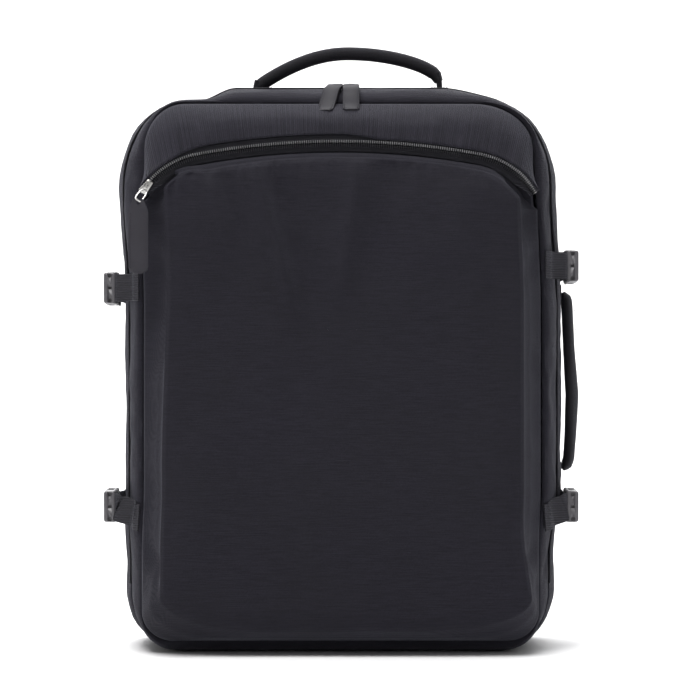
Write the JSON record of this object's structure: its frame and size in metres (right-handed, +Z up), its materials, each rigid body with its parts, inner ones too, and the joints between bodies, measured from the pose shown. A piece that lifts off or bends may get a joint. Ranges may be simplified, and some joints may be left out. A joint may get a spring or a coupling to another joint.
{
  "type": "travel backpack",
  "caption": "Soft clamshell travel backpack with a curved-zip front pocket, compression buckles, top and side handles and padded shoulder straps.",
  "frame": {"origin": "centre of the bottom of the bag's bounding box, on the surface it stands on", "axes": "+X to the bag's right in front view (the side-handle side), +Y from the front pocket to the shoulder straps, +Z up"},
  "size_m": [0.4352, 0.2214, 0.5507],
  "materials": {
    "shell_fabric": "plain-woven polyester, matt",
    "lining": "thin plain lining, matt",
    "foam_board": "foam sheet, matt",
    "air_mesh": "open spacer mesh, matt",
    "webbing": "ribbed webbing, matt",
    "zip_tape": "knitted zip tape, matt",
    "buckle_plastic": "satin moulded acetal",
    "handle_fabric": "padded fabric, matt",
    "zip_metal": "nickel-plated, satin",
    "pull_rubber": "soft moulded, satin"
  },
  "bodies": {
    "shell": {"rear_shell": "shell_fabric", "back_board": "foam_board", "laptop_sleeve": "lining", "sleeve_strap": "webbing", "packing_strap_left": "webbing", "packing_strap_right": "webbing", "packing_buckle": "buckle_plastic", "main_zip_rear_tape": "zip_tape", "hinge_fabric_rear": "shell_fabric", "back_pad_left": "air_mesh", "back_pad_right": "air_mesh", "lumbar_pad": "air_mesh", "shoulder_strap_left": "handle_fabric", "shoulder_strap_right": "handle_fabric", "ladder_lock_left": "buckle_plastic", "ladder_lock_right": "buckle_plastic", "strap_webbing_left": "webbing", "strap_webbing_right": "webbing", "strap_anchor_left": "shell_fabric", "strap_anchor_right": "shell_fabric", "top_handle_anchor_left": "webbing", "top_handle_anchor_right": "webbing", "side_handle_anchor_lower": "webbing", "side_handle_anchor_upper": "webbing", "rear_webbing_left_upper": "webbing", "rear_webbing_right_upper": "webbing", "rear_webbing_left_lower": "webbing", "rear_webbing_right_lower": "webbing"},
    "lid": {"lid_gusset": "shell_fabric", "front_panel": "lining", "main_zip_front_tape": "zip_tape", "hinge_fabric_front": "shell_fabric", "pocket_face": "shell_fabric", "pocket_top_band": "shell_fabric", "pocket_zip_upper_tape": "zip_tape", "pocket_zip_lower_tape": "zip_tape", "lid_mesh_pocket": "air_mesh", "lid_mesh_binding": "webbing", "front_webbing_left_upper": "webbing", "front_webbing_right_upper": "webbing", "front_webbing_left_lower": "webbing", "front_webbing_right_lower": "webbing", "buckle_socket_left_upper": "buckle_plastic", "buckle_socket_right_upper": "buckle_plastic", "buckle_socket_left_lower": "buckle_plastic", "buckle_socket_right_lower": "buckle_plastic"},
    "top_handle": {"top_handle": "handle_fabric"},
    "side_handle": {"side_handle": "handle_fabric"},
    "main_slider_left": {"main_slider_left": "zip_metal"},
    "main_slider_right": {"main_slider_right": "zip_metal"},
    "main_pull_left": {"main_pull_left": "pull_rubber"},
    "main_pull_right": {"main_pull_right": "pull_rubber"},
    "pocket_slider": {"pocket_slider": "zip_metal"},
    "pocket_wire_loop": {"pocket_wire_loop": "zip_metal"},
    "pocket_pull": {"pocket_pull": "pull_rubber"},
    "plug_left_upper": {"buckle_plug_left_upper": "buckle_plastic"},
    "plug_right_upper": {"buckle_plug_right_upper": "buckle_plastic"},
    "plug_left_lower": {"buckle_plug_left_lower": "buckle_plastic"},
    "plug_right_lower": {"buckle_plug_right_lower": "buckle_plastic"}
  },
  "joints": [
    {"name": "lid_hinge", "type": "hinge", "parent": "shell", "child": "lid", "pos_m": [0, -0.036, -0.0002], "axis": [1, 0, 0], "range_deg": [0, 180]},
    {"name": "top_handle_tilt", "type": "hinge", "parent": "shell", "child": "top_handle", "pos_m": [0, -0.019, 0.52], "axis": [1, 0, 0], "range_deg": [-40, 40], "stiffness_Nm_per_rad": 0.06},
    {"name": "side_handle_tilt", "type": "hinge", "parent": "shell", "child": "side_handle", "pos_m": [0.2078, 0.016, 0.244], "axis": [0, 0, 1], "range_deg": [-30, 30], "stiffness_Nm_per_rad": 0.02},
    {"name": "main_slider_left_run", "type": "slide", "parent": "lid", "child": "main_slider_left", "axis": [-1, 0, 0], "range_m": [0, 0.078]},
    {"name": "main_slider_right_run", "type": "slide", "parent": "lid", "child": "main_slider_right", "axis": [1, 0, 0], "range_m": [0, 0.078]},
    {"name": "main_pull_left_flip", "type": "hinge", "parent": "main_slider_left", "child": "main_pull_left", "pos_m": [-0.0045, -0.0375, 0.51535], "axis": [-1, 0, 0], "range_deg": [0, 95]},
    {"name": "main_pull_right_flip", "type": "hinge", "parent": "main_slider_right", "child": "main_pull_right", "pos_m": [0.01, -0.0375, 0.51535], "axis": [-1, 0, 0], "range_deg": [0, 95]},
    {"name": "pocket_slider_run", "type": "hinge", "parent": "lid", "child": "pocket_slider", "pos_m": [-0.11205, -0.1003, 0.37187], "axis": [0, 1, 0], "range_deg": [0, 40]},
    {"name": "pocket_loop_flip", "type": "hinge", "parent": "pocket_slider", "child": "pocket_wire_loop", "pos_m": [-0.17415, -0.1041, 0.41385], "axis": [-0.7987, 0, 0.6017], "range_deg": [0, 90]},
    {"name": "pocket_pull_swing", "type": "hinge", "parent": "pocket_wire_loop", "child": "pocket_pull", "pos_m": [-0.17965, -0.1118, 0.40655], "axis": [0, 1, 0], "range_deg": [-40, 30]},
    {"name": "plug_left_upper_release", "type": "slide", "parent": "shell", "child": "plug_left_upper", "axis": [0, 1, 0], "range_m": [0, 0.026]},
    {"name": "plug_right_upper_release", "type": "slide", "parent": "shell", "child": "plug_right_upper", "axis": [0, 1, 0], "range_m": [0, 0.026]},
    {"name": "plug_left_lower_release", "type": "slide", "parent": "shell", "child": "plug_left_lower", "axis": [0, 1, 0], "range_m": [0, 0.026]},
    {"name": "plug_right_lower_release", "type": "slide", "parent": "shell", "child": "plug_right_lower", "axis": [0, 1, 0], "range_m": [0, 0.026]}
  ]
}
